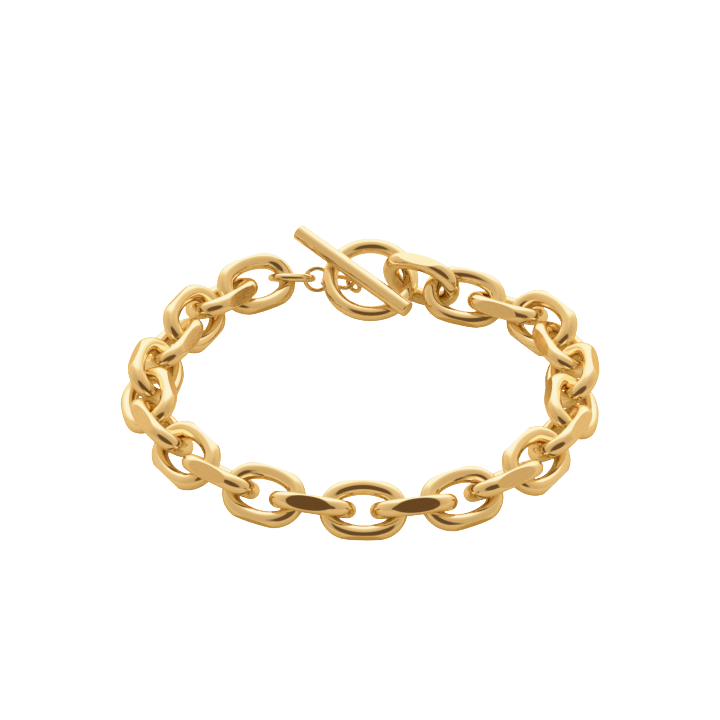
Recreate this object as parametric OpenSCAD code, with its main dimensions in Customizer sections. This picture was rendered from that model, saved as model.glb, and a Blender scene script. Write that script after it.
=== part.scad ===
// Link bracelet with a toggle clasp, lying closed in a loop on a flat surface.
// Heavy oval links with filed flat sides, a round bar through a round ring, and three small links.
// Millimetres, +Z up, the surface at z = 0, the clasp at the back.
// A piece lies in its own frame along x, across y and flat in z before it is laid in its place.

/* [Heavy links] */
// Length of a heavy link over its end bends
link_len = 12.75; // [12.7:0.05:13.2]
// Width of a heavy link before its long sides are filed
link_w = 9.6; // [9.4:0.1:10]
// Diameter of the wire of the heavy links
link_wire = 2.56; // [2.3:0.01:2.58]
// How much tighter an end bend is than half a heavy link's width, so that its long sides bow out
link_bow = 0.37; // [0.1:0.01:0.6]
// How much thinner the wire of every oval link is at its end bends, where bending stretches it
bend_thin = 0.04; // [0.02:0.01:0.06]
// Depth filed off each long side
filed = 0.56; // [0.1:0.02:0.9]

/* [How the links lie] */
// Lean of the even links out of the flat, at the bar's end of the chain
even_lean_first = 34.8; // [33:0.2:36]
// Lean of the even links at the ring's end of the chain
even_lean_last = 34.4; // [33:0.2:36]
// Lean of the odd links the other way, at the bar's end
odd_lean_first = 43; // [40:0.5:45]
// Lean of the odd links at the ring's end
odd_lean_last = 36; // [33:0.5:40]

/* [Toggle ring] */
// Diameter of the toggle ring on its wire's centre line
ring_dia = 12.08; // [12:0.02:12.3]
// Diameter of the toggle ring's wire
ring_wire = 2.35; // [2:0.05:2.4]
// Angle at which the toggle ring rises towards its back
ring_rise = 21.5; // [21:0.5:22.5]
// Height of the ring's middle over the surface, where the last link and the long link prop it up
ring_height = 3.73; // [3.7:0.01:3.85]

/* [Toggle bar] */
// Length of the toggle bar
bar_len = 21.6; // [18:0.1:23]
// Diameter of the toggle bar
bar_dia = 2.54; // [2.2:0.02:2.6]
// Rounding of the bar's two end edges
bar_edge = 0.25; // [0.1:0.05:0.5]
// Angle at which the bar lies across the ring
bar_turn = 40.5; // [38:0.5:43]
// Gap between the bar and the ring that it lies on
bar_gap = 0.12; // [0.08:0.02:0.2]

/* [Eye under the bar] */
// Inside diameter of the eye
eye_hole = 1.44; // [1.4:0.02:1.5]
// Diameter of the eye's wire
eye_wire = 0.76; // [0.66:0.02:0.78]
// Depth that the eye is let into the bar where it is soldered
eye_seat = 0.12; // [0.06:0.02:0.2]
// Angle at which the eye points forward of straight down
eye_turn = 11.8; // [8:0.2:16]

/* [Small links] */
// Length of the small oval link that passes through the first heavy link
oval_len = 7.32; // [7.2:0.02:7.4]
// Width of the small oval link
oval_w = 5.66; // [5.6:0.02:5.8]
// Diameter of the small oval link's wire
oval_wire = 1.2; // [1:0.02:1.22]
// Outside diameter of the small round link
round_dia = 4.36; // [4.3:0.02:4.4]
// Length of the small long link that holds the bar's eye
long_len = 6.58; // [6.5:0.02:6.64]
// Width of the small long link
long_w = 2.74; // [2.7:0.02:2.8]
// Diameter of the wire of the round link and the long link
thin_wire = 0.74; // [0.66:0.02:0.76]
// How much tighter an end bend is than half a small link's width
small_bow = 0.05; // [0.03:0.01:0.2]

/* [Hidden] */
// Number of heavy links
LINKS = 24;
// Columns of a point
X = 0;
Y = 1;
// Every second joint of the chain, seen from above, from the bar's end round the front to the ring
ROUTE = [
    [-13.01, 28.38],
    [-22.86, 19.83],
    [-29.21, 7.03],
    [-30.21, -6.82],
    [-22.81, -19.37],
    [-10.36, -27.42],
    [4.09, -29.37],
    [17.54, -25.07],
    [27.39, -14.77],
    [31.09, -0.82],
    [28.94, 13.43],
    [18.89, 21.83],
    [4.89, 24.88]
];
// Room along a link for its neighbours' pull, and the ring's diameter, for which the route was laid
ROUTE_ROOM = 7.63;
ROUTE_RING = 12.08;
// Joints at which the route bends a little when its links or the ring change size: left, front and right
LEFT = 4;
FRONT = 12;
RIGHT = 20;
// Some links lie off the rule: number, shift in x and y, lift, turn, rise and lean, where 0 is the rule's lean
NUMBER = 0;
SHIFT_X = 1;
SHIFT_Y = 2;
LIFT = 3;
TURN = 4;
RISE = 5;
LEAN = 6;
OFF_RULE = [
    [1, 0.03, -0.14, 0.02, -5, 2.4, -33.5],
    [2, -0.12, 0.22, 0.49, 9, 6.2, 26.6],
    [3, 0.14, -0.21, 0, 4.7, 0, -44.3],
    [4, 0.1, 0.1, 0, -1.7, 0, 33.7],
    [6, -0.35, 0.31, 0, 6.2, 0, 34.1],
    [7, 0.14, 0.02, 0, 2.3, 0, 0],
    [8, 0.09, -0.03, 0, -4, 0, 34.9],
    [14, 0.1, 0.21, 0, 3.6, 0, 31.4],
    [15, 0.1, 0.2, 0, -3.8, 0, 0],
    [16, 0, -0.08, 0, 4.1, 0, 35.2],
    [17, 0.11, 0.14, 0, -3.9, 0, -37.3],
    [18, 0.12, -0.18, 0, 4.6, 0, 35.8],
    [20, 0.05, -0.25, 0, 2.2, 0, 30],
    [21, 0.1, 0.06, 0, -3.3, 0, 0],
    [22, 0.15, 0.16, 0.07, 3, -1.2, 28.6],
    [23, 0, -0.17, 0.24, 0, 4.5, -32.3],
    [24, 0.6, 1.27, 0.08, -19, -3.2, 80]
];
// The near side of the ring and the middles of the small links, from the first link's outer end: x, y
RING_AT = [6.78, -2.43];
OVAL_AT = [1.04, -0.35];
ROUND_AT = [4.83, -0.11];
LONG_AT = [7.95, -1.26];
// Heights of the small links' middles over the surface
OVAL_Z = 2.57;
ROUND_Z = 2.17;
LONG_Z = 2.54;
// Where the small links point: lean, rise and heading
OVAL_POSE = [-37.1, -4.3, 4.6];
ROUND_POSE = [79.7, -0.7, 1];
LONG_POSE = [17.8, 15.8, -39.4];
// Middle of the bar from the ring's near side along x, and from the ring's middle up its slope
BAR_AT = [3.39, -0.05];
// How far the eye sits from the bar's middle, along the bar
EYE_ALONG = 0.64;
// Angle by which an end bend runs on inside the thicker side wire, so that the two are one solid
LAP = 2;
GOLD = "#D8B070";
LIGHT_GOLD = "#E3C48C";
SIDES = 64;

function two_digits(i) = i < 10 ? str("0", i) : str(i);
function link_name(i) = str("link_", two_digits(i));

// The route grows with the room that a link leaves along it
route_scale = (link_len - 2 * link_wire) / ROUTE_ROOM;
LAST = len(ROUTE) - 1;
function route(k) =
    k < 0 ? 2 * ROUTE[0] - ROUTE[1] :
    k > LAST ? 2 * ROUTE[LAST] - ROUTE[LAST - 1] :
    ROUTE[k];
// The joint half way between two points of the route, on a smooth curve through four of them
function between(k) = (9 * route(k) + 9 * route(k + 1) - route(k - 1) - route(k + 2)) / 16;
// Where link i meets link i + 1 when the whole route grows
function grown(i) = route_scale * (i % 2 == 0 ? route(i / 2) : between((i - 1) / 2));

// The clasp doesn't grow with the links, so two stretches of the route turn until its ends are as far apart
// as the clasp needs. They are two sides of a triangle whose third side is known.
left_side = grown(FRONT) - grown(LEFT);
right_side = grown(RIGHT) - grown(FRONT);
third_side =
    ROUTE[LAST] - ROUTE[0] + [ring_dia - ROUTE_RING, 0]
    - (grown(LEFT) - grown(0)) - (grown(LINKS) - grown(RIGHT));
function direction(v) = atan2(v[Y], v[X]);
// Angle between a triangle's third side and side a, where b is the other side
function corner(a, b) =
    acos((third_side * third_side + a * a - b * b) / (2 * norm(a) * norm(third_side)));
left_turn = direction(third_side) - corner(left_side, right_side) - direction(left_side);
right_turn = direction(third_side) + corner(right_side, left_side) - direction(right_side);
function turned(v, a) = [v[X] * cos(a) - v[Y] * sin(a), v[X] * sin(a) + v[Y] * cos(a)];
function joint(i) =
    i < LEFT ? joint(LEFT) + grown(i) - grown(LEFT) :
    i < FRONT ? grown(FRONT) + turned(grown(i) - grown(FRONT), left_turn) :
    i <= RIGHT ? grown(FRONT) + turned(grown(i) - grown(FRONT), right_turn) :
    joint(RIGHT) + grown(i) - grown(RIGHT);

// What the table says of link i, or zeros
function own_row(i) =
    let (found = [for (row = OFF_RULE) if (row[NUMBER] == i) row])
    len(found) > 0 ? found[0] : [i, 0, 0, 0, 0, 0, 0];
function is_odd(i) = i % 2 == 1;
function along_chain(i) = (i - 1) / (LINKS - 1);
function rule_lean(i) =
    is_odd(i) ? -(odd_lean_first + (odd_lean_last - odd_lean_first) * along_chain(i))
    : even_lean_first + (even_lean_last - even_lean_first) * along_chain(i);
function lean(i) = own_row(i)[LEAN] == 0 ? rule_lean(i) : own_row(i)[LEAN];

// Half sizes of a heavy link: to its side wire's centre line, to its filed flat, and along that flat
side_x = (link_w - link_wire) / 2;
flat_x = link_w / 2 - filed;
flat_half = sqrt(pow(link_wire / 2, 2) - pow(flat_x - side_x, 2));
// Height of a link's middle when it rests on the surface with a lean: on its wire or on its flat's edge
function rest_z(a) =
    link_wire / 2 * sin(abs(a)) > flat_x - side_x
    ? flat_x * sin(abs(a)) + flat_half * cos(a)
    : side_x * sin(abs(a)) + link_wire / 2;
function heading(i) =
    let (way = joint(i) - joint(i - 1))
    atan2(way[Y], way[X]) + own_row(i)[TURN];
function link_middle(i) =
    let (mid = (joint(i - 1) + joint(i)) / 2, row = own_row(i))
    [mid[X] + row[SHIFT_X], mid[Y] + row[SHIFT_Y], rest_z(lean(i)) + row[LIFT]];
// Outer end of the first link, on its wire's centre line, seen from above
first_end =
    let (reach = (link_len - link_wire) / 2, c = link_middle(1), a = heading(1))
    [c[X] - reach * cos(a), c[Y] - reach * sin(a)];

// Lays a piece in its place: leaned about its length, its far end raised, then turned
module lay(middle, lean_angle, rise, turn) {
    translate(middle)
        rotate([lean_angle, -rise, turn])
            children();
}

// A stretch of round wire bent along an arc about a point on the piece's axis
module bent_wire(centre, radius, wire, from, to) {
    translate([centre[X], centre[Y], 0])
        rotate([0, 0, from])
            rotate_extrude(angle = to - from, $fn = SIDES)
                translate([radius, 0])
                    circle(d = wire, $fn = 32);
}

// A closed oval of round wire: a tight bend at each end, and long sides bowed a little outwards
module oval_wire_link(length, width, wire, bow) {
    half_l = (length - wire) / 2;
    half_w = (width - wire) / 2;
    bend = half_w - bow;
    end_x = half_l - bend;
    side_bend = (pow(end_x, 2) + pow(half_w, 2) - pow(bend, 2)) / (2 * (half_w - bend));
    side_y = side_bend - half_w;
    change = atan2(side_y, end_x);
    for (end = [0, 180])
        rotate([0, 0, end]) {
            bent_wire([end_x, 0], bend, wire - bend_thin, -change - LAP, change + LAP);
            bent_wire([0, -side_y], side_bend, wire, change, 180 - change);
        }
}

module heavy_link(i) {
    color(is_odd(i) ? GOLD : LIGHT_GOLD)
        lay(link_middle(i), lean(i), own_row(i)[RISE], heading(i))
            intersection() {
                oval_wire_link(link_len, link_w, link_wire, link_bow);
                cube([2 * link_len, 2 * flat_x, 2 * link_wire], center = true);
            }
}

// The middle of the toggle ring: its near side stays by the small links whatever its diameter
ring_middle = [
    first_end[X] + RING_AT[X] + ring_dia / 2,
    first_end[Y] + RING_AT[Y],
    ring_height
];

module toggle_ring() {
    color(LIGHT_GOLD)
        lay(ring_middle, ring_rise, 0, 0)
            rotate_extrude($fn = SIDES)
                translate([ring_dia / 2, 0])
                    circle(d = ring_wire, $fn = 32);
}

// A round rod along x with rounded end edges
module rounded_rod(length, dia, edge) {
    rotate([0, 90, 0]) {
        cylinder(d = dia, h = length - 2 * edge, center = true, $fn = SIDES);
        cylinder(d = dia - 2 * edge, h = length, center = true, $fn = SIDES);
        for (side = [-1, 1])
            translate([0, 0, side * (length / 2 - edge)])
                rotate_extrude($fn = SIDES)
                    translate([dia / 2 - edge, 0])
                        circle(r = edge, $fn = 32);
    }
}

// The eye is a small ring in the plane of the bar's length
module bar_eye() {
    eye_dia = eye_hole + eye_wire;
    drop = bar_dia / 2 + eye_dia / 2 + eye_wire / 2 - eye_seat;
    rotate([-eye_turn, 0, 0])
        translate([EYE_ALONG, 0, -drop])
            rotate([90, 0, 0])
                rotate_extrude($fn = SIDES)
                    translate([eye_dia / 2, 0])
                        circle(d = eye_wire, $fn = 32);
}

module toggle_bar() {
    over_ring = (ring_wire + bar_dia) / 2 + bar_gap;
    color(GOLD)
        lay(ring_middle, ring_rise, 0, 0)
            translate([BAR_AT[X] - ring_dia / 2, BAR_AT[Y], over_ring])
                rotate([0, 0, -bar_turn]) {
                    rounded_rod(bar_len, bar_dia, bar_edge);
                    bar_eye();
                }
}

// A small link's middle, from the first link's end and its own height
function small_middle(at, z) = [first_end[X] + at[X], first_end[Y] + at[Y], z];

module small_link_1() {
    color(LIGHT_GOLD)
        lay(small_middle(OVAL_AT, OVAL_Z), OVAL_POSE[0], OVAL_POSE[1], OVAL_POSE[2])
            oval_wire_link(oval_len, oval_w, oval_wire, small_bow);
}

module small_link_2() {
    color(GOLD)
        lay(small_middle(ROUND_AT, ROUND_Z), ROUND_POSE[0], ROUND_POSE[1], ROUND_POSE[2])
            rotate_extrude($fn = SIDES)
                translate([(round_dia - thin_wire) / 2, 0])
                    circle(d = thin_wire, $fn = 32);
}

module small_link_3() {
    color(LIGHT_GOLD)
        lay(small_middle(LONG_AT, LONG_Z), LONG_POSE[0], LONG_POSE[1], LONG_POSE[2])
            oval_wire_link(long_len, long_w, thin_wire, small_bow);
}

for (i = [1:LINKS])
    heavy_link(i);
toggle_ring();
toggle_bar();
small_link_1();
small_link_2();
small_link_3();
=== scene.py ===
# %% [markdown]
# # A gold link bracelet, dressed for its picture
#
# The object is a heavy oval chain with filed flat sides, closed in a loop by a bar through a round ring.
# The CAD model already has every piece at its true size and place. This lesson replaces each piece
# with a smoother surface of its own and gives it polished gold. Where each piece lies, and how large it
# is, is read from the CAD model. Then come the camera, the room that the gold mirrors, and the paper.

# %% Load the CAD model
import math
import bpy
import numpy as np
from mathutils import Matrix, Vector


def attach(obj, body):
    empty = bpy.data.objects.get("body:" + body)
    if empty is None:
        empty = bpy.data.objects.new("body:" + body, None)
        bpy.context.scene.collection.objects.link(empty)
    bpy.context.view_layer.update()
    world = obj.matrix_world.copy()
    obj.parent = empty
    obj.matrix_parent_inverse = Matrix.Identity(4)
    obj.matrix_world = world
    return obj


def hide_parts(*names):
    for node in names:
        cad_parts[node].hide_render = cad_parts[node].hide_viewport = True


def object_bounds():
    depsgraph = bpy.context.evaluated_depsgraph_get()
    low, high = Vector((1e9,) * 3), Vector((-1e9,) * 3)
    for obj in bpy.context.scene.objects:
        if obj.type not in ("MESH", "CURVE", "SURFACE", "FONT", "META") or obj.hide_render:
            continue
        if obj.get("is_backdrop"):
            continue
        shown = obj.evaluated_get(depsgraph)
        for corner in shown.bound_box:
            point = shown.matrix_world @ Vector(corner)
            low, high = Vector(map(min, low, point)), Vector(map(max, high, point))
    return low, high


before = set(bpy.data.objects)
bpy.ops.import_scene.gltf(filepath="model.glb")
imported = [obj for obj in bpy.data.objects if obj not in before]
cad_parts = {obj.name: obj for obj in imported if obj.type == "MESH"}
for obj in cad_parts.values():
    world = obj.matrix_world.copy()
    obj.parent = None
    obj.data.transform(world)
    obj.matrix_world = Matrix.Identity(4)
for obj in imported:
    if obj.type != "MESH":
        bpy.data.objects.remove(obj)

CAD_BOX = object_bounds()
MM = 0.001
LINKS = sorted(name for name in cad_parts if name.startswith("link_"))
print("heavy links:", len(LINKS), "of", len(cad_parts), "pieces")

# %% [markdown]
# ## Where each piece lies
#
# A link of a chain lies at an angle of its own, so its box says little about it. Its skin says more.
# We weigh the skin's triangles: their common middle is the link's middle, and the directions in which
# they spread most and least are its length and the normal of its plane. This is how an engineer finds
# the principal axes of a body, and it needs no list of angles.

# %% Read a CAD mesh as an array
def skin(name):
    """Returns the three corners of each triangle of a CAD node."""
    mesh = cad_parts[name].data
    mesh.calc_loop_triangles()
    points = np.empty(3 * len(mesh.vertices), np.float32)
    mesh.vertices.foreach_get("co", points)
    corners = np.empty(3 * len(mesh.loop_triangles), np.int32)
    mesh.loop_triangles.foreach_get("vertices", corners)
    return points.reshape(-1, 3)[corners.reshape(-1, 3)].astype(float)


print(LINKS[0], "has", len(skin(LINKS[0])), "triangles in the CAD model")

# %% Axes, middle and half sizes
def principal(corners):
    """The middle of a skin's extents, its axes as rows (longest spread first), and half its extent on each.
    A triangle's second moment is its area times the sum of its corners' squares and 9 times its middle's
    square. A common factor is left out, because it turns no axis."""
    across = np.cross(corners[:, 1] - corners[:, 0], corners[:, 2] - corners[:, 0])
    area = np.linalg.norm(across, axis=1)
    centres = corners.mean(axis=1)
    weighed = (area[:, None] * centres).sum(axis=0) / area.sum()
    from_corners, from_centres = corners - weighed, centres - weighed
    moment = (np.einsum("t,tci,tcj->ij", area, from_corners, from_corners)
              + 9 * np.einsum("t,ti,tj->ij", area, from_centres, from_centres))
    axes = np.linalg.eigh(moment)[1].T[::-1]
    axes[2] = np.cross(axes[0], axes[1])
    reach = corners.reshape(-1, 3) @ axes.T
    low, high = reach.min(axis=0), reach.max(axis=0)
    return (low + high) / 2 @ axes, axes, (high - low) / 2


middle, axes, half = principal(skin(LINKS[11]))
print("a heavy link is", np.round(2 * half / MM, 2), "mm over all, middle at", np.round(middle / MM, 2))

# %% [markdown]
# ## A grid that becomes a mesh
#
# Every surface below is a grid of points: one index runs along the wire and the other round it.
# One helper turns such a grid into a mesh. It joins the last row to the first, so that a ring of wire
# is closed, and it winds each face so that its normal points outwards.

# %% A closed grid as a surface
def closed_surface(points):
    """Points, faces and map of a grid that is closed both ways. A face's normal is the direction from row
    to row crossed with that from column to column. The map gives each corner its distance along the wire
    and round it."""
    rows, columns = points.shape[:2]
    row, column = np.meshgrid(np.arange(rows), np.arange(columns), indexing="ij")
    corner_row = np.stack([row, row + 1, row + 1, row], axis=-1).reshape(-1, 4)
    corner_column = np.stack([column, column, column + 1, column + 1], axis=-1).reshape(-1, 4)
    line = points.mean(axis=1)
    length = np.linalg.norm(np.roll(line, -1, axis=0) - line, axis=1).sum()
    girth = np.linalg.norm(np.roll(points[0], -1, axis=0) - points[0], axis=1).sum()
    faces = (corner_row % rows) * columns + corner_column % columns
    way = np.stack([corner_row * length / rows, corner_column * girth / columns], axis=-1)
    return points.reshape(-1, 3), [faces], [way]

# %% Surfaces to a piece
def make_piece(name, surfaces, node, slot, material, **values):
    """Joins surfaces into a mesh object that rides with the root body, stands for its CAD node, and takes
    the material given. slot is not used. values are numbers for each point, which the material can read
    by name."""
    points, faces, way = [], [], []
    for some_points, some_faces, some_way in surfaces:
        first = sum(len(block) for block in points)
        faces += [face for block in some_faces for face in (block + first).tolist()]
        way += [block.reshape(-1, 2) for block in some_way]
        points.append(some_points)
    mesh = bpy.data.meshes.new(name)
    mesh.from_pydata(np.concatenate(points), [], faces)
    mesh.shade_smooth()
    layer = mesh.uv_layers.new(name="wire_way")
    layer.data.foreach_set("uv", np.concatenate(way).reshape(-1).astype(np.float32))
    for label, numbers in values.items():
        layer = mesh.attributes.new(label, "FLOAT", "POINT")
        layer.data.foreach_set("value", numbers.reshape(-1).astype(np.float32))
    mesh.materials.append(material)
    piece = bpy.data.objects.new(name, mesh)
    bpy.context.scene.collection.objects.link(piece)
    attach(piece, "root")
    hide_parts(node)
    return piece

# %% [markdown]
# ## The line that the wire follows
#
# A jeweller winds the wire on an oval rod and saws the coil apart, so a link has tight bends at its ends
# and long sides that bow gently. Four arcs that share their tangents draw that oval. The outward normal
# turns once round, and each stretch of the turn belongs to one arc. That makes the whole line one formula.

# %% Oval centre line
def oval_line(half_length, half_width, bend, count):
    """Points on the wire's centre line and its outward normals, evenly spaced along it.
    A point is its arc's centre plus the arc's radius times (cos turn, sin turn). The end arcs have radius
    bend. The side arcs' radius makes the oval reach half_width and share tangents with the end arcs."""
    end_x = half_length - bend
    side = (end_x ** 2 + half_width ** 2 - bend ** 2) / (2 * (half_width - bend))
    change = math.atan2(side - half_width, end_x)
    marks = np.array([-change, change, math.pi - change, math.pi + change, 2 * math.pi - change])
    radii = np.array([bend, side, bend, side])
    centres = np.array([[end_x, 0], [0, half_width - side], [-end_x, 0], [0, side - half_width]])
    run = np.concatenate([[0], np.cumsum(np.diff(marks) * radii)])
    turn = np.interp(np.linspace(0, run[-1], count, endpoint=False), run, marks)
    arc = np.clip(np.searchsorted(marks, turn, side="right") - 1, 0, 3)
    out = np.stack([np.cos(turn), np.sin(turn)], axis=1)
    return centres[arc] + radii[arc][:, None] * out, out

# %% Wire along a line
def wire(line, out, radius, around):
    """Grid of points on round wire: line + radius (cos a out + sin a up), for an angle a that goes once
    round. The radius is one number, or one for each point of the line."""
    angle = np.linspace(0, 2 * math.pi, around, endpoint=False)
    radius = np.broadcast_to(radius, len(line))[:, None]
    flat = line[:, None, :] + (radius * np.cos(angle))[:, :, None] * out[:, None, :]
    return np.concatenate([flat, (radius * np.sin(angle))[:, :, None]], axis=2)

# %% [markdown]
# ## The filed sides
#
# On the real chain the long sides were filed flat and then polished, so each facet ends in a soft lip.
# Cutting the mesh with a plane would give a hard edge and ragged faces. Here each point that lies past
# the file's plane is drawn back to it, and close to the plane the pull starts early. This smooth minimum
# gives the facet and its rounded lip in one formula.

# %% File a link's sides
LIP = 0.07 * MM


def file_sides(points, plane):
    """Draws the reach |y| back to the plane with a smooth minimum:
    min(|y|, plane) - max(LIP - ||y| - plane|, 0)^2 / (4 LIP).
    Also returns two masks: 1 on the facets, and 1 on their lips."""
    reach = np.abs(points[..., 1])
    ease = np.maximum(LIP - np.abs(reach - plane), 0) ** 2 / (4 * LIP)
    filed = points.copy()
    filed[..., 1] = np.sign(points[..., 1]) * (np.minimum(reach, plane) - ease)
    return filed, np.clip((reach - plane) / LIP, 0, 1), np.exp(-((reach - plane) / LIP) ** 2)


print("a lip reaches", round(LIP / MM, 3), "mm to either side of a facet's edge")

# %% [markdown]
# ## Polished gold
#
# Polished gold has almost no colour of its own in the light that it scatters: nearly all that we see is
# its tinted mirror image of the room. So the finish is a metal with a low roughness, and what makes it
# look made by a hand instead of computed is what disturbs that mirror: a slight unevenness and fine
# lines left by the polishing wheel, and smudges where it was touched. The wheel's marks and the smudges
# are a node group each, because all the golds below use both with values of their own.

# %% Helpers for shader nodes
def new_group(name, inputs, outputs):
    """An empty node group with named sockets: each is (name, socket type, default)."""
    group = bpy.data.node_groups.new(name, "ShaderNodeTree")
    for label, kind, value in inputs:
        socket = group.interface.new_socket(label, in_out="INPUT", socket_type=kind)
        socket.default_value = value
    for label, kind in outputs:
        group.interface.new_socket(label, in_out="OUTPUT", socket_type=kind)
    return group, group.nodes.new("NodeGroupInput"), group.nodes.new("NodeGroupOutput")


def math_node(tree, operation, first, second, clamp=False):
    """A Math node whose two inputs are sockets or plain numbers; returns its output."""
    node = tree.nodes.new("ShaderNodeMath")
    node.operation = operation
    node.use_clamp = clamp
    for socket, value in zip(node.inputs, (first, second)):
        if isinstance(value, (int, float)):
            socket.default_value = value
        else:
            tree.links.new(value, socket)
    return node.outputs[0]


def mix_colour(tree, factor, first, second):
    """The first colour where factor is 0, the second where it is 1. Each is a socket or a plain colour."""
    mix = tree.nodes.new("ShaderNodeMix")
    mix.data_type = "RGBA"
    tree.links.new(factor, mix.inputs["Factor"])
    for socket, value in ((mix.inputs["A"], first), (mix.inputs["B"], second)):
        if isinstance(value, tuple):
            socket.default_value = (*value, 1)
        else:
            tree.links.new(value, socket)
    return mix.outputs["Result"]


def stretched_noise(tree, vector, scale, detail=2.0):
    """Noise of a vector that is first multiplied by scale, one factor for each direction."""
    stretch = tree.nodes.new("ShaderNodeVectorMath")
    stretch.operation = "MULTIPLY"
    tree.links.new(vector, stretch.inputs[0])
    stretch.inputs[1].default_value = scale
    noise = tree.nodes.new("ShaderNodeTexNoise")
    noise.inputs["Scale"].default_value = 1
    noise.inputs["Detail"].default_value = detail
    tree.links.new(stretch.outputs[0], noise.inputs["Vector"])
    return noise.outputs["Fac"]

# %% [markdown]
# The wheel leaves waves about two millimetres long and a few thousandths of a millimetre high. Its lines
# are about a seventh of a millimetre apart. They follow the wire, so they read a map whose two directions
# are the distance along the wire and round it. Noise has one cell for each unit of its vector, so the
# factors say how many cells fit in a metre each way. Waves and lines are heights, and a Bump node turns
# heights into tilted normals. The lines also come out as streaks, for the tint of a filed facet.

# %% Wheel marks
WAVES_PER_M = (520, 520, 520)
ALONG_PER_M = (450, 7000, 1)
ROUND_PER_M = (6000, 600, 1)
ROUND_SHARE = 0.6
STREAK_LEVEL = 0.55

wheel_marks, given, result = new_group(
    "wheel_marks",
    [("Place", "NodeSocketVector", (0, 0, 0)), ("Way", "NodeSocketVector", (0, 0, 0)),
     ("Lines", "NodeSocketFloat", 0.1)],
    [("Height", "NodeSocketFloat"), ("Streaks", "NodeSocketFloat")])
waves = stretched_noise(wheel_marks, given.outputs["Place"], WAVES_PER_M)
along_lines = stretched_noise(wheel_marks, given.outputs["Way"], ALONG_PER_M)
round_lines = stretched_noise(wheel_marks, given.outputs["Way"], ROUND_PER_M)
lines = math_node(wheel_marks, "ADD", along_lines,
                  math_node(wheel_marks, "MULTIPLY", round_lines, ROUND_SHARE))
cut = math_node(wheel_marks, "MULTIPLY", lines, given.outputs["Lines"])
streaks = math_node(wheel_marks, "SUBTRACT", lines, STREAK_LEVEL, clamp=True)
wheel_marks.links.new(math_node(wheel_marks, "ADD", waves, cut), result.inputs["Height"])
wheel_marks.links.new(streaks, result.inputs["Streaks"])
print("wheel_marks holds", len(wheel_marks.nodes), "nodes")

# %% [markdown]
# A smudge is a patch a few millimetres wide, broken up by the fine grain of skin. So a coarse noise says
# where a patch lies: all of it below a level is cut away, and the rest is made steep, to give the patch
# an edge. A fine noise thins it out.

# %% Handling smudges
PATCHES_PER_M = (230, 230, 230)
GREASE_PER_M = (2600, 2600, 2600)
PATCH_LEVEL = 0.48
PATCH_EDGE = 4

smudges, given, result = new_group(
    "handling_smudges",
    [("Place", "NodeSocketVector", (0, 0, 0))],
    [("Film", "NodeSocketFloat")])
patches = stretched_noise(smudges, given.outputs["Place"], PATCHES_PER_M, detail=3)
grease = stretched_noise(smudges, given.outputs["Place"], GREASE_PER_M)
above = math_node(smudges, "SUBTRACT", patches, PATCH_LEVEL, clamp=True)
patch = math_node(smudges, "MULTIPLY", above, PATCH_EDGE, clamp=True)
smudges.links.new(math_node(smudges, "MULTIPLY", patch, grease), result.inputs["Film"])
print("handling_smudges holds", len(smudges.nodes), "nodes")

# %% [markdown]
# The alloy's tint is set by two golds that are only a little apart: the richer one shows in the streaks
# of the facets and where a film of handling lies, the other on clean metal. The file leaves more lines on
# the facets and makes them less smooth, and the wheel touches their lips most often, so those are the
# smoothest. Gold is a shade paler where we look along it, and the grazing tint says how much.
#
# A third, paler gold stands in where gold is seen in gold. Light that bounces between polished wires
# takes the alloy's tint each time. With the full tint the crevices turned red, while the photograph's
# stay amber. Light Path tells a ray from the camera from a mirrored one.

# %% Tints and marks that the golds share
CLEAN_GOLD = (0.97, 0.765, 0.43)
THIN_CLEAN_GOLD = (0.96, 0.75, 0.42)
RICH_GOLD = (0.94, 0.69, 0.34)
ECHO_GOLD = (0.89, 0.815, 0.61)
GRAZING_TINT = (1, 0.88, 0.66)
FACET_LINES = 0.6
FACET_SATIN = 0.02
FACET_STREAKS = 3
LIP_POLISH = 0.02

# %% A gold for one kind of piece
def point_value(tree, label):
    """The number that each point of a piece has under this label, and 0 on a piece without it."""
    node = tree.nodes.new("ShaderNodeAttribute")
    node.attribute_name = label
    return node.outputs["Fac"]


def use_group(tree, group, **inputs):
    """Places a node group, links its inputs by name and returns its outputs."""
    node = tree.nodes.new("ShaderNodeGroup")
    node.node_tree = group
    for label, socket in inputs.items():
        tree.links.new(socket, node.inputs[label])
    return node.outputs


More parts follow.
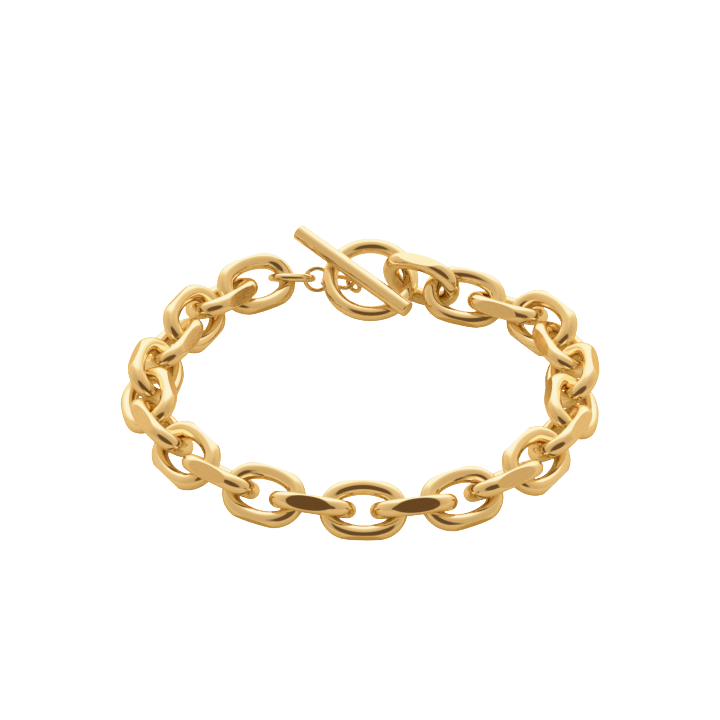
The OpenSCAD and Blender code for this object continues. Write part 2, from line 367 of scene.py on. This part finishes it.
def polished_gold(name, clean, roughness, film, lines, unevenness):
    """A metal whose colour, roughness and normal follow the two groups above. clean is the tint of clean
    metal and roughness its roughness, film is how much a smudge adds to that, lines is the height of the
    wheel's lines against its waves, and unevenness is the height of those waves in metres."""
    material = bpy.data.materials.new(name)
    material.use_nodes = True
    tree = material.node_tree
    shader = tree.nodes["Principled BSDF"]
    shader.inputs["Metallic"].default_value = 1
    shader.inputs["Specular Tint"].default_value = (*GRAZING_TINT, 1)
    place = tree.nodes.new("ShaderNodeTexCoord").outputs["Object"]
    way = tree.nodes.new("ShaderNodeUVMap")
    way.uv_map = "wire_way"
    facet = point_value(tree, "facet")
    all_lines = math_node(tree, "ADD", math_node(tree, "MULTIPLY", facet, FACET_LINES), lines)
    marks = use_group(tree, wheel_marks, Place=place, Way=way.outputs["UV"], Lines=all_lines)
    touched = use_group(tree, smudges, Place=place)["Film"]

    streaks = math_node(tree, "MULTIPLY", facet, marks["Streaks"])
    grain = math_node(tree, "MULTIPLY", streaks, FACET_STREAKS)
    richness = math_node(tree, "ADD", touched, grain, clamp=True)
    tint = mix_colour(tree, richness, clean, RICH_GOLD)
    by_camera = tree.nodes.new("ShaderNodeLightPath").outputs["Is Camera Ray"]
    tree.links.new(mix_colour(tree, by_camera, ECHO_GOLD, tint), shader.inputs["Base Color"])

    from_film = math_node(tree, "MULTIPLY", touched, film)
    from_file = math_node(tree, "MULTIPLY", facet, FACET_SATIN)
    off_lip = math_node(tree, "MULTIPLY", point_value(tree, "lip"), LIP_POLISH)
    rough = math_node(tree, "SUBTRACT", math_node(tree, "ADD", from_film, from_file), off_lip)
    tree.links.new(math_node(tree, "ADD", rough, roughness, clamp=True), shader.inputs["Roughness"])

    bump = tree.nodes.new("ShaderNodeBump")
    bump.inputs["Strength"].default_value = 1
    bump.inputs["Distance"].default_value = unevenness
    tree.links.new(marks["Height"], bump.inputs["Height"])
    tree.links.new(bump.outputs["Normal"], shader.inputs["Normal"])
    return material


heavy_gold = polished_gold("heavy_link_gold", CLEAN_GOLD,
                           roughness=0.06, film=0.1, lines=0.3, unevenness=0.008 * MM)
clasp_gold = polished_gold("clasp_gold", CLEAN_GOLD,
                           roughness=0.08, film=0.12, lines=1.0, unevenness=0.006 * MM)
thin_gold = polished_gold("thin_link_gold", THIN_CLEAN_GOLD,
                          roughness=0.08, film=0.12, lines=0.2, unevenness=0.005 * MM)
print("golds:", heavy_gold.name, clasp_gold.name, thin_gold.name)

# %% [markdown]
# ## The heavy links
#
# Every heavy link is the same piece in another pose. The wire's thickness is the link's smallest extent,
# and the facets stand at half the width. Two sizes of the design no longer show in the filed skin, so
# they are named here: the width before filing, and how far the sides bow out past the end bends. Bending
# stretches the wire, so it is a hair thinner at the two ends, and that also keeps this skin inside the
# CAD model's.

# %% Heavy links
UNFILED_WIDTH = 9.6 * MM
HEAVY_BOW = 0.37 * MM
BEND_THIN = 0.04 * MM
HEAVY_GRID = (176, 96)


def oval_link(half, half_width, bow, grid):
    """Grid of an oval link of round wire in its own frame, with grid's numbers of points along and round.
    half holds half its extents along, across and through it; half_width is half the width of its unfiled
    wire. The wire's radius is half its thickness less BEND_THIN / 2 times cos^2 of the turn."""
    count, around = grid
    radius = half[2]
    line_width = half_width - radius
    line, out = oval_line(half[0] + BEND_THIN / 2 - radius, line_width, line_width - bow, count)
    return wire(line, out, radius - BEND_THIN / 2 * out[:, 0] ** 2, around)


for name in LINKS:
    middle, axes, half = principal(skin(name))
    whole = oval_link(half, UNFILED_WIDTH / 2, HEAVY_BOW, HEAVY_GRID)
    points, facet, lip = file_sides(whole, half[1])
    surface = closed_surface(middle + points @ axes)
    heavy = make_piece("gold_" + name, [surface], name, "heavy_links", heavy_gold, facet=facet, lip=lip)
print(len(LINKS), "heavy links of", len(heavy.data.polygons), "faces each")

# %% [markdown]
# ## The thin links and the ring
#
# Three thin links lead from the chain to the bar: a stout oval one, a round one and a long narrow one.
# They are wound and closed like the heavy ones, but nothing is filed off them. The toggle ring is a plain
# circle of heavier wire. Each grid has so many points along the wire and round it that no corner shows.

# %% Thin links
THIN_BOW = 0.05 * MM
THIN_GRID = (160, 32)

for name in ("small_link_1", "small_link_3"):
    middle, axes, half = principal(skin(name))
    points = oval_link(half, half[1], THIN_BOW, THIN_GRID)
    make_piece("gold_" + name, [closed_surface(middle + points @ axes)], name, "small_links", thin_gold)
    print(name, "is", np.round(2 * half / MM, 2), "mm over all")

# %% Rings of round wire
RING_GRID = (192, 48)


def circle_line(radius, count):
    """Evenly spaced points on a circle about the origin and their outward normals."""
    turn = np.linspace(0, 2 * math.pi, count, endpoint=False)
    out = np.stack([np.cos(turn), np.sin(turn)], axis=1)
    return radius * out, out


for name, slot, gold in (("small_link_2", "small_links", thin_gold), ("toggle_ring", "clasp", clasp_gold)):
    middle, axes, half = principal(skin(name))
    line, out = circle_line((half[0] + half[1]) / 2 - half[2], RING_GRID[0])
    points = wire(line, out, half[2], RING_GRID[1])
    make_piece("gold_" + name, [closed_surface(middle + points @ axes)], name, slot, gold)
    print(name, "is", round((half[0] + half[1]) / MM, 2), "mm across,",
          "of wire", round(2 * half[2] / MM, 2), "mm")

# %% [markdown]
# ## The bar and its eye
#
# The bar is a round rod whose end edges are polished round, and a small ring of wire is soldered under
# it. The eye pulls the principal axes a little askew, so the rod is read from its two flat end faces: the
# line through their middles is its axis. What lies clearly further from that axis than the rod's skin is
# the eye.

# %% Read the rod and the eye
EYE_SPAN = 4 * MM
EYE_MARGIN = 0.2 * MM
END_FACING = 0.95

corners = skin("toggle_bar")
middle, axes, half = principal(corners)
across = np.cross(corners[:, 1] - corners[:, 0], corners[:, 2] - corners[:, 0])
area = np.linalg.norm(across, axis=1)
centres = corners.mean(axis=1)
past_eye = (centres - middle) @ axes[0] / EYE_SPAN
facing = across @ axes[0] / area * np.sign(past_eye) > END_FACING
near_end, far_end = (np.average(centres[pick], axis=0, weights=area[pick])
                     for pick in (facing & (past_eye < -1), facing & (past_eye > 1)))
bar_middle = (near_end + far_end) / 2
bar_axis = (far_end - near_end) / np.linalg.norm(far_end - near_end)

off = corners.reshape(-1, 3) - bar_middle
along = off @ bar_axis
off = off - along[:, None] * bar_axis
reach = np.linalg.norm(off, axis=1)
bar_half_length, bar_radius = np.abs(along).max(), reach[np.abs(along) > EYE_SPAN].max()
on_eye = reach > bar_radius + EYE_MARGIN
down = off[on_eye].mean(axis=0) / np.linalg.norm(off[on_eye].mean(axis=0))
eye_along, eye_reach = along[on_eye].mean(), reach.max()
print("rod", round(2 * bar_half_length / MM, 2), "mm long and", round(2 * bar_radius / MM, 2), "mm thick;",
      "the eye reaches", round(eye_reach / MM, 2), "mm from its axis")

# %% [markdown]
# A rod is what a lathe makes: a profile that goes once round an axis. Each profile point gives a ring of
# points, and a single point closes each end. Rings crowd together on the rounded edges, where the
# surface turns fastest.

# %% Turn a rod
FACE_SHARES = np.linspace(0.15, 0.95, 6)
EDGE_RINGS = 12
SIDE_RINGS = 39


def rod_profile(half_length, radius, edge):
    """Distances along the axis and from it: out over an end face, round its edge, a quarter circle of
    radius edge, and along the side to the other end, which is the mirror image."""
    face = np.stack([np.full(len(FACE_SHARES), half_length), FACE_SHARES * (radius - edge)], axis=1)
    angle = np.linspace(0, math.pi / 2, EDGE_RINGS)
    corner = np.array([half_length, radius]) + edge * (np.stack([np.cos(angle), np.sin(angle)], axis=1) - 1)
    side_along = np.linspace(half_length - edge, 0, SIDE_RINGS + 1)[1:]
    side = np.stack([side_along, np.full(SIDE_RINGS, radius)], axis=1)
    right = np.concatenate([face, corner, side])
    return np.concatenate([right, right[-2::-1] * (-1, 1)])


def turned_surface(profile, middle, axis, around):
    """Points, faces and map of a turned piece. A point is middle + x axis + r (cos a side + sin a up).
    Each face goes first to the next ring and then round, so that its normal points outwards."""
    side = np.cross(axis, (0, 0, 1)) / np.linalg.norm(np.cross(axis, (0, 0, 1)))
    up = np.cross(axis, side)
    angle = np.linspace(0, 2 * math.pi, around, endpoint=False)
    circle = np.cos(angle)[:, None] * side + np.sin(angle)[:, None] * up
    rings = middle + profile[:, 0, None, None] * axis + profile[:, 1, None, None] * circle
    poles = middle + np.array([[profile[0, 0]], [profile[-1, 0]]]) * axis
    last = len(profile) - 1
    row, column = np.divmod(np.arange(last * around), around)
    after = (column + 1) % around
    quads = np.stack([row * around + column, (row + 1) * around + column,
                      (row + 1) * around + after, row * around + after], axis=-1)
    girth = 2 * math.pi * profile[:, 1].max() / around
    way = np.stack([np.stack([profile[row, 0], column * girth], axis=-1),
                    np.stack([profile[row + 1, 0], column * girth], axis=-1),
                    np.stack([profile[row + 1, 0], (column + 1) * girth], axis=-1),
                    np.stack([profile[row, 0], (column + 1) * girth], axis=-1)], axis=1)
    first, column = (last + 1) * around, np.arange(around)
    caps = np.concatenate([np.stack([np.full(around, first), column, (column + 1) % around], axis=-1),
                           np.stack([np.full(around, first + 1), last * around + (column + 1) % around,
                                     last * around + column], axis=-1)])
    points = np.concatenate([rings.reshape(-1, 3), poles])
    return points, [quads, caps], [way, np.zeros((len(caps), 3, 2))]

# %% [markdown]
# The eye was bent from thin wire and soldered under the bar. Solder runs into the corner between the
# two, so the eye's wire grows thicker where it enters the bar: its radius is larger by half there, and
# that fades within a sixth of a turn on either side. The seat is how deep the wire sits in the bar.

# %% Bar and eye
BAR_EDGE = 0.25 * MM
EYE_WIRE = 0.76 * MM
EYE_SEAT = 0.12 * MM
SOLDER = 0.5
SOLDER_SPREAD = 0.5
ROD_AROUND = 64
EYE_GRID = (96, 32)

profile = rod_profile(bar_half_length, bar_radius, BAR_EDGE)
rod = turned_surface(profile, bar_middle, bar_axis, ROD_AROUND)
eye_radius = (eye_reach - bar_radius + EYE_SEAT - EYE_WIRE) / 2
line, out = circle_line(eye_radius, EYE_GRID[0])
from_top = np.arccos(np.clip(out[:, 0], -1, 1))
soldered = 1 + SOLDER * np.exp(-(from_top / SOLDER_SPREAD) ** 2)
eye = wire(line, out, EYE_WIRE / 2 * soldered, EYE_GRID[1])
eye_middle = bar_middle + eye_along * bar_axis + (eye_reach - EYE_WIRE / 2 - eye_radius) * down
eye_axes = np.stack([-down, bar_axis, np.cross(-down, bar_axis)])
eye_surface = closed_surface(eye_middle + eye @ eye_axes)
make_piece("gold_toggle_bar", [rod, eye_surface], "toggle_bar", "clasp", clasp_gold)
print("the eye's wire runs on a circle", round(2 * eye_radius / MM, 2), "mm across")

# %% [markdown]
# ## Camera
#
# The photograph looks down on the bracelet at about 36 degrees, from almost a metre away through a long
# lens. How many pixels a millimetre takes at the target, how wide the frame is and how wide the sensor
# is give the focal length.

# %% Camera
ELEVATION = math.radians(36.13)
DISTANCE = 857 * MM
PIXELS_PER_MM = 6.768
FRAME_PIXELS = 720
SENSOR_MM = 36
TARGET = np.array([-0.039, 11.336, 0]) * MM

lens = bpy.data.cameras.new("camera")
lens.sensor_width = SENSOR_MM
lens.lens = lens.sensor_width * PIXELS_PER_MM * (DISTANCE / MM) / FRAME_PIXELS
camera = bpy.data.objects.new("camera", lens)
camera.location = TARGET + DISTANCE * np.array([0, -math.cos(ELEVATION), math.sin(ELEVATION)])
camera.rotation_euler = (math.pi / 2 - ELEVATION, 0, 0)
bpy.context.scene.collection.objects.link(camera)
bpy.context.scene.camera = camera
print("lens", round(lens.lens, 1), "mm at", DISTANCE, "m")

# %% [markdown]
# ## What the gold reflects
#
# A mirror shows the room, so the room decides how polished gold looks. The bands on the links tell what
# stood round it: even warm walls, a brighter ceiling, a wide glow with a bright window in it behind the
# bracelet, and a dark place round the camera, which every bulge of wire that faces us draws as a thin
# brown line. The world below is that room, as brightness by direction: soft-edged cards in azimuth and
# elevation, one over the other.

# %% World nodes
world = bpy.data.worlds.new("studio")
world.use_nodes = True
studio = world.node_tree
towards = studio.nodes.new("ShaderNodeSeparateXYZ")
studio.links.new(studio.nodes.new("ShaderNodeTexCoord").outputs["Generated"], towards.inputs[0])
height = math_node(studio, "ARCSINE", towards.outputs["Z"], 0)


def ramp(value, zero, one):
    """A smooth step of a value: 0 at zero, 1 at one."""
    node = studio.nodes.new("ShaderNodeMapRange")
    node.interpolation_type = "SMOOTHSTEP"
    studio.links.new(value, node.inputs["Value"])
    node.inputs["From Min"].default_value = zero
    node.inputs["From Max"].default_value = one
    return node.outputs["Result"]


def card(side, wide, middle, tall, edge, power, lean=0):
    """1 in the directions that a card covers and 0 elsewhere. side is 1 behind the bracelet and -1 on the
    camera's side. middle is the height of its middle, and wide and tall are half its size, in degrees.
    Its outline is |x / wide|^power + |y / tall|^power = 1, where x also grows by lean for each degree up.
    A power of 2 makes an ellipse and 4 nearly a rectangle. edge is the share that its rim fades over."""
    ahead = math_node(studio, "MULTIPLY", towards.outputs["Y"], side)
    above = math_node(studio, "SUBTRACT", height, math.radians(middle))
    across = math_node(studio, "ADD", math_node(studio, "ARCTAN2", towards.outputs["X"], ahead),
                       math_node(studio, "MULTIPLY", above, lean))
    terms = []
    for distance, size in ((across, wide), (above, tall)):
        share = math_node(studio, "DIVIDE", distance, math.radians(size))
        share = math_node(studio, "ABSOLUTE", share, 0)
        terms.append(math_node(studio, "POWER", share, power))
    reach = math_node(studio, "POWER", math_node(studio, "ADD", *terms), 1 / power)
    return ramp(reach, 1 + edge, 1 - edge)

# %% The room
WALL = (0.692, 0.617, 0.493)
CEILING = (0.92, 0.81, 0.695)
WINDOW = (1.53, 1.4, 1.68)
DARK_SIDE = (0.211, 0.149, 0.081)
CEILING_FROM = math.radians(58)
CEILING_FULL = math.radians(95)

glow = card(side=1, wide=88, middle=45, tall=70, edge=0.45, power=4)
window = card(side=1, wide=45, middle=38, tall=36, edge=0.35, power=4)
dark = card(side=-1, wide=38, middle=31, tall=27, edge=0.15, power=2.3, lean=0.25)
room = mix_colour(studio, ramp(height, CEILING_FROM, CEILING_FULL), WALL, CEILING)
for mask, colour in ((glow, CEILING), (window, WINDOW), (dark, DARK_SIDE)):
    room = mix_colour(studio, mask, room, colour)
studio.links.new(room, studio.nodes["Background"].inputs["Color"])
bpy.context.scene.world = world
print("the studio has", len(studio.nodes), "nodes")

# %% [markdown]
# ## Floor and picture
#
# The bracelet lies on white paper, and the photograph shows that paper as pure white, without a shadow.
# In the gold, though, it is a middling grey. So the paper glows strongly for the camera alone. For all
# other rays it has a faint warm glow, because the floor that the photograph's gold mirrors is a little
# brighter and warmer than plain paper would be in this room.

# %% Paper floor
FLOOR_RADIUS = 3
RIM_POINTS = 96
PAPER_GREY = 0.62
PAPER_ROUGHNESS = 0.6
CAMERA_GLOW = (2.44, 2.52, 2.6)
FILL_GLOW = (0.3, 0.25, 0.12)

rim = circle_line(FLOOR_RADIUS, RIM_POINTS)[0]
sheet = bpy.data.meshes.new("paper")
sheet.from_pydata(np.pad(rim, ((0, 0), (0, 1))), [], [list(range(RIM_POINTS))])
paper = bpy.data.materials.new("paper")
paper.use_nodes = True
tree = paper.node_tree
shader = tree.nodes["Principled BSDF"]
shader.inputs["Base Color"].default_value = (PAPER_GREY, PAPER_GREY, PAPER_GREY, 1)
shader.inputs["Roughness"].default_value = PAPER_ROUGHNESS
shader.inputs["Emission Strength"].default_value = 1
by_camera = tree.nodes.new("ShaderNodeLightPath").outputs["Is Camera Ray"]
tree.links.new(mix_colour(tree, by_camera, FILL_GLOW, CAMERA_GLOW), shader.inputs["Emission Color"])
sheet.materials.append(paper)
floor = bpy.data.objects.new("floor", sheet)
bpy.context.scene.collection.objects.link(floor)
floor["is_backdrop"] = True
print("the paper is", 2 * FLOOR_RADIUS, "m across")

# %% [markdown]
# A camera bends bright values over instead of cutting them off, which keeps highlights creamy instead of
# yellow. A curve over the picture does the same here: each pair is a light's brightness and the value
# that it is shown with.

# %% Picture curve
BRIGHTEST = 4
RESPONSE = [(0.1, 0.056), (0.2, 0.134), (0.3, 0.222), (0.4, 0.318), (0.5, 0.42), (0.6, 0.53), (0.7, 0.642),
            (0.8, 0.738), (0.95, 0.848), (1.15, 0.92), (1.47, 0.97), (2, 0.992)]
picture = bpy.context.scene.view_settings
picture.view_transform = "Standard"
picture.use_curve_mapping = True
picture.curve_mapping.white_level = (BRIGHTEST, BRIGHTEST, BRIGHTEST)
for light, shown in RESPONSE:
    picture.curve_mapping.curves[3].points.new(light / BRIGHTEST, shown)
picture.curve_mapping.update()
print("the curve has", len(picture.curve_mapping.curves[3].points), "points")

# %% [markdown]
# Between the links light goes from wire to wire many times before it leaves. Blender follows only four
# mirrored bounces unless it is told otherwise, and that leaves black spots in the crevices. So the limit
# is raised to ten.

# %% Mirrored bounces
MIRRORED_BOUNCES = 10
bpy.context.scene.cycles.glossy_bounces = MIRRORED_BOUNCES
print("light may be mirrored", MIRRORED_BOUNCES, "times")

# %% [markdown]
# Last, the sizes of the CAD model and of the finished pieces are written down side by side. Both are the
# same bracelet, so the new skin may not reach past the old one.

# %% Sizes and finish
for label, box in (("CAD", CAD_BOX), ("finished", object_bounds())):
    print(label, "size", np.round((np.array(box[1]) - np.array(box[0])) / MM, 2), "mm")
